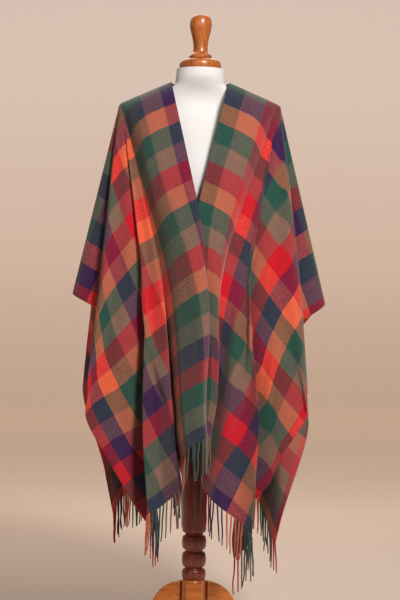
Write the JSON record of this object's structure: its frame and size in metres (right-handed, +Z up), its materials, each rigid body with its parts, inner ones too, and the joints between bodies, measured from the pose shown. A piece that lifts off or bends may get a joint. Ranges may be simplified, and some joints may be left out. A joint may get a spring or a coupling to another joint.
{
  "type": "open-front andean poncho on a dress form",
  "caption": "Checked wool poncho with an open front, uneven draped points and fringed hems, resting on a limbless dress form with a turned wooden stand.",
  "frame": {"origin": "on the floor, under the middle of the whole part", "axes": "+Z up along the post, -Y towards the wearer's front, +X towards the wearer's left side"},
  "size_m": [0.6362, 0.4904, 1.6],
  "materials": {
    "plaid_wool": "brushed twill weave in red, orange, green, violet and tan checks",
    "wool_fringe": "twisted wool strands in the warp colours",
    "form_cover": "smooth off-white knit",
    "varnished_wood": "red-brown varnish"
  },
  "bodies": {
    "root": {"front_left": "plaid_wool", "front_right": "plaid_wool", "back": "plaid_wool", "fringe_front_left": "wool_fringe", "fringe_centre": "wool_fringe", "fringe_front_right": "wool_fringe", "fringe_back": "wool_fringe", "torso": "form_cover", "neck_cap": "varnished_wood", "finial": "varnished_wood", "post": "varnished_wood", "base_hub": "varnished_wood", "leg_1": "varnished_wood", "leg_2": "varnished_wood", "leg_3": "varnished_wood"}
  },
  "joints": []
}
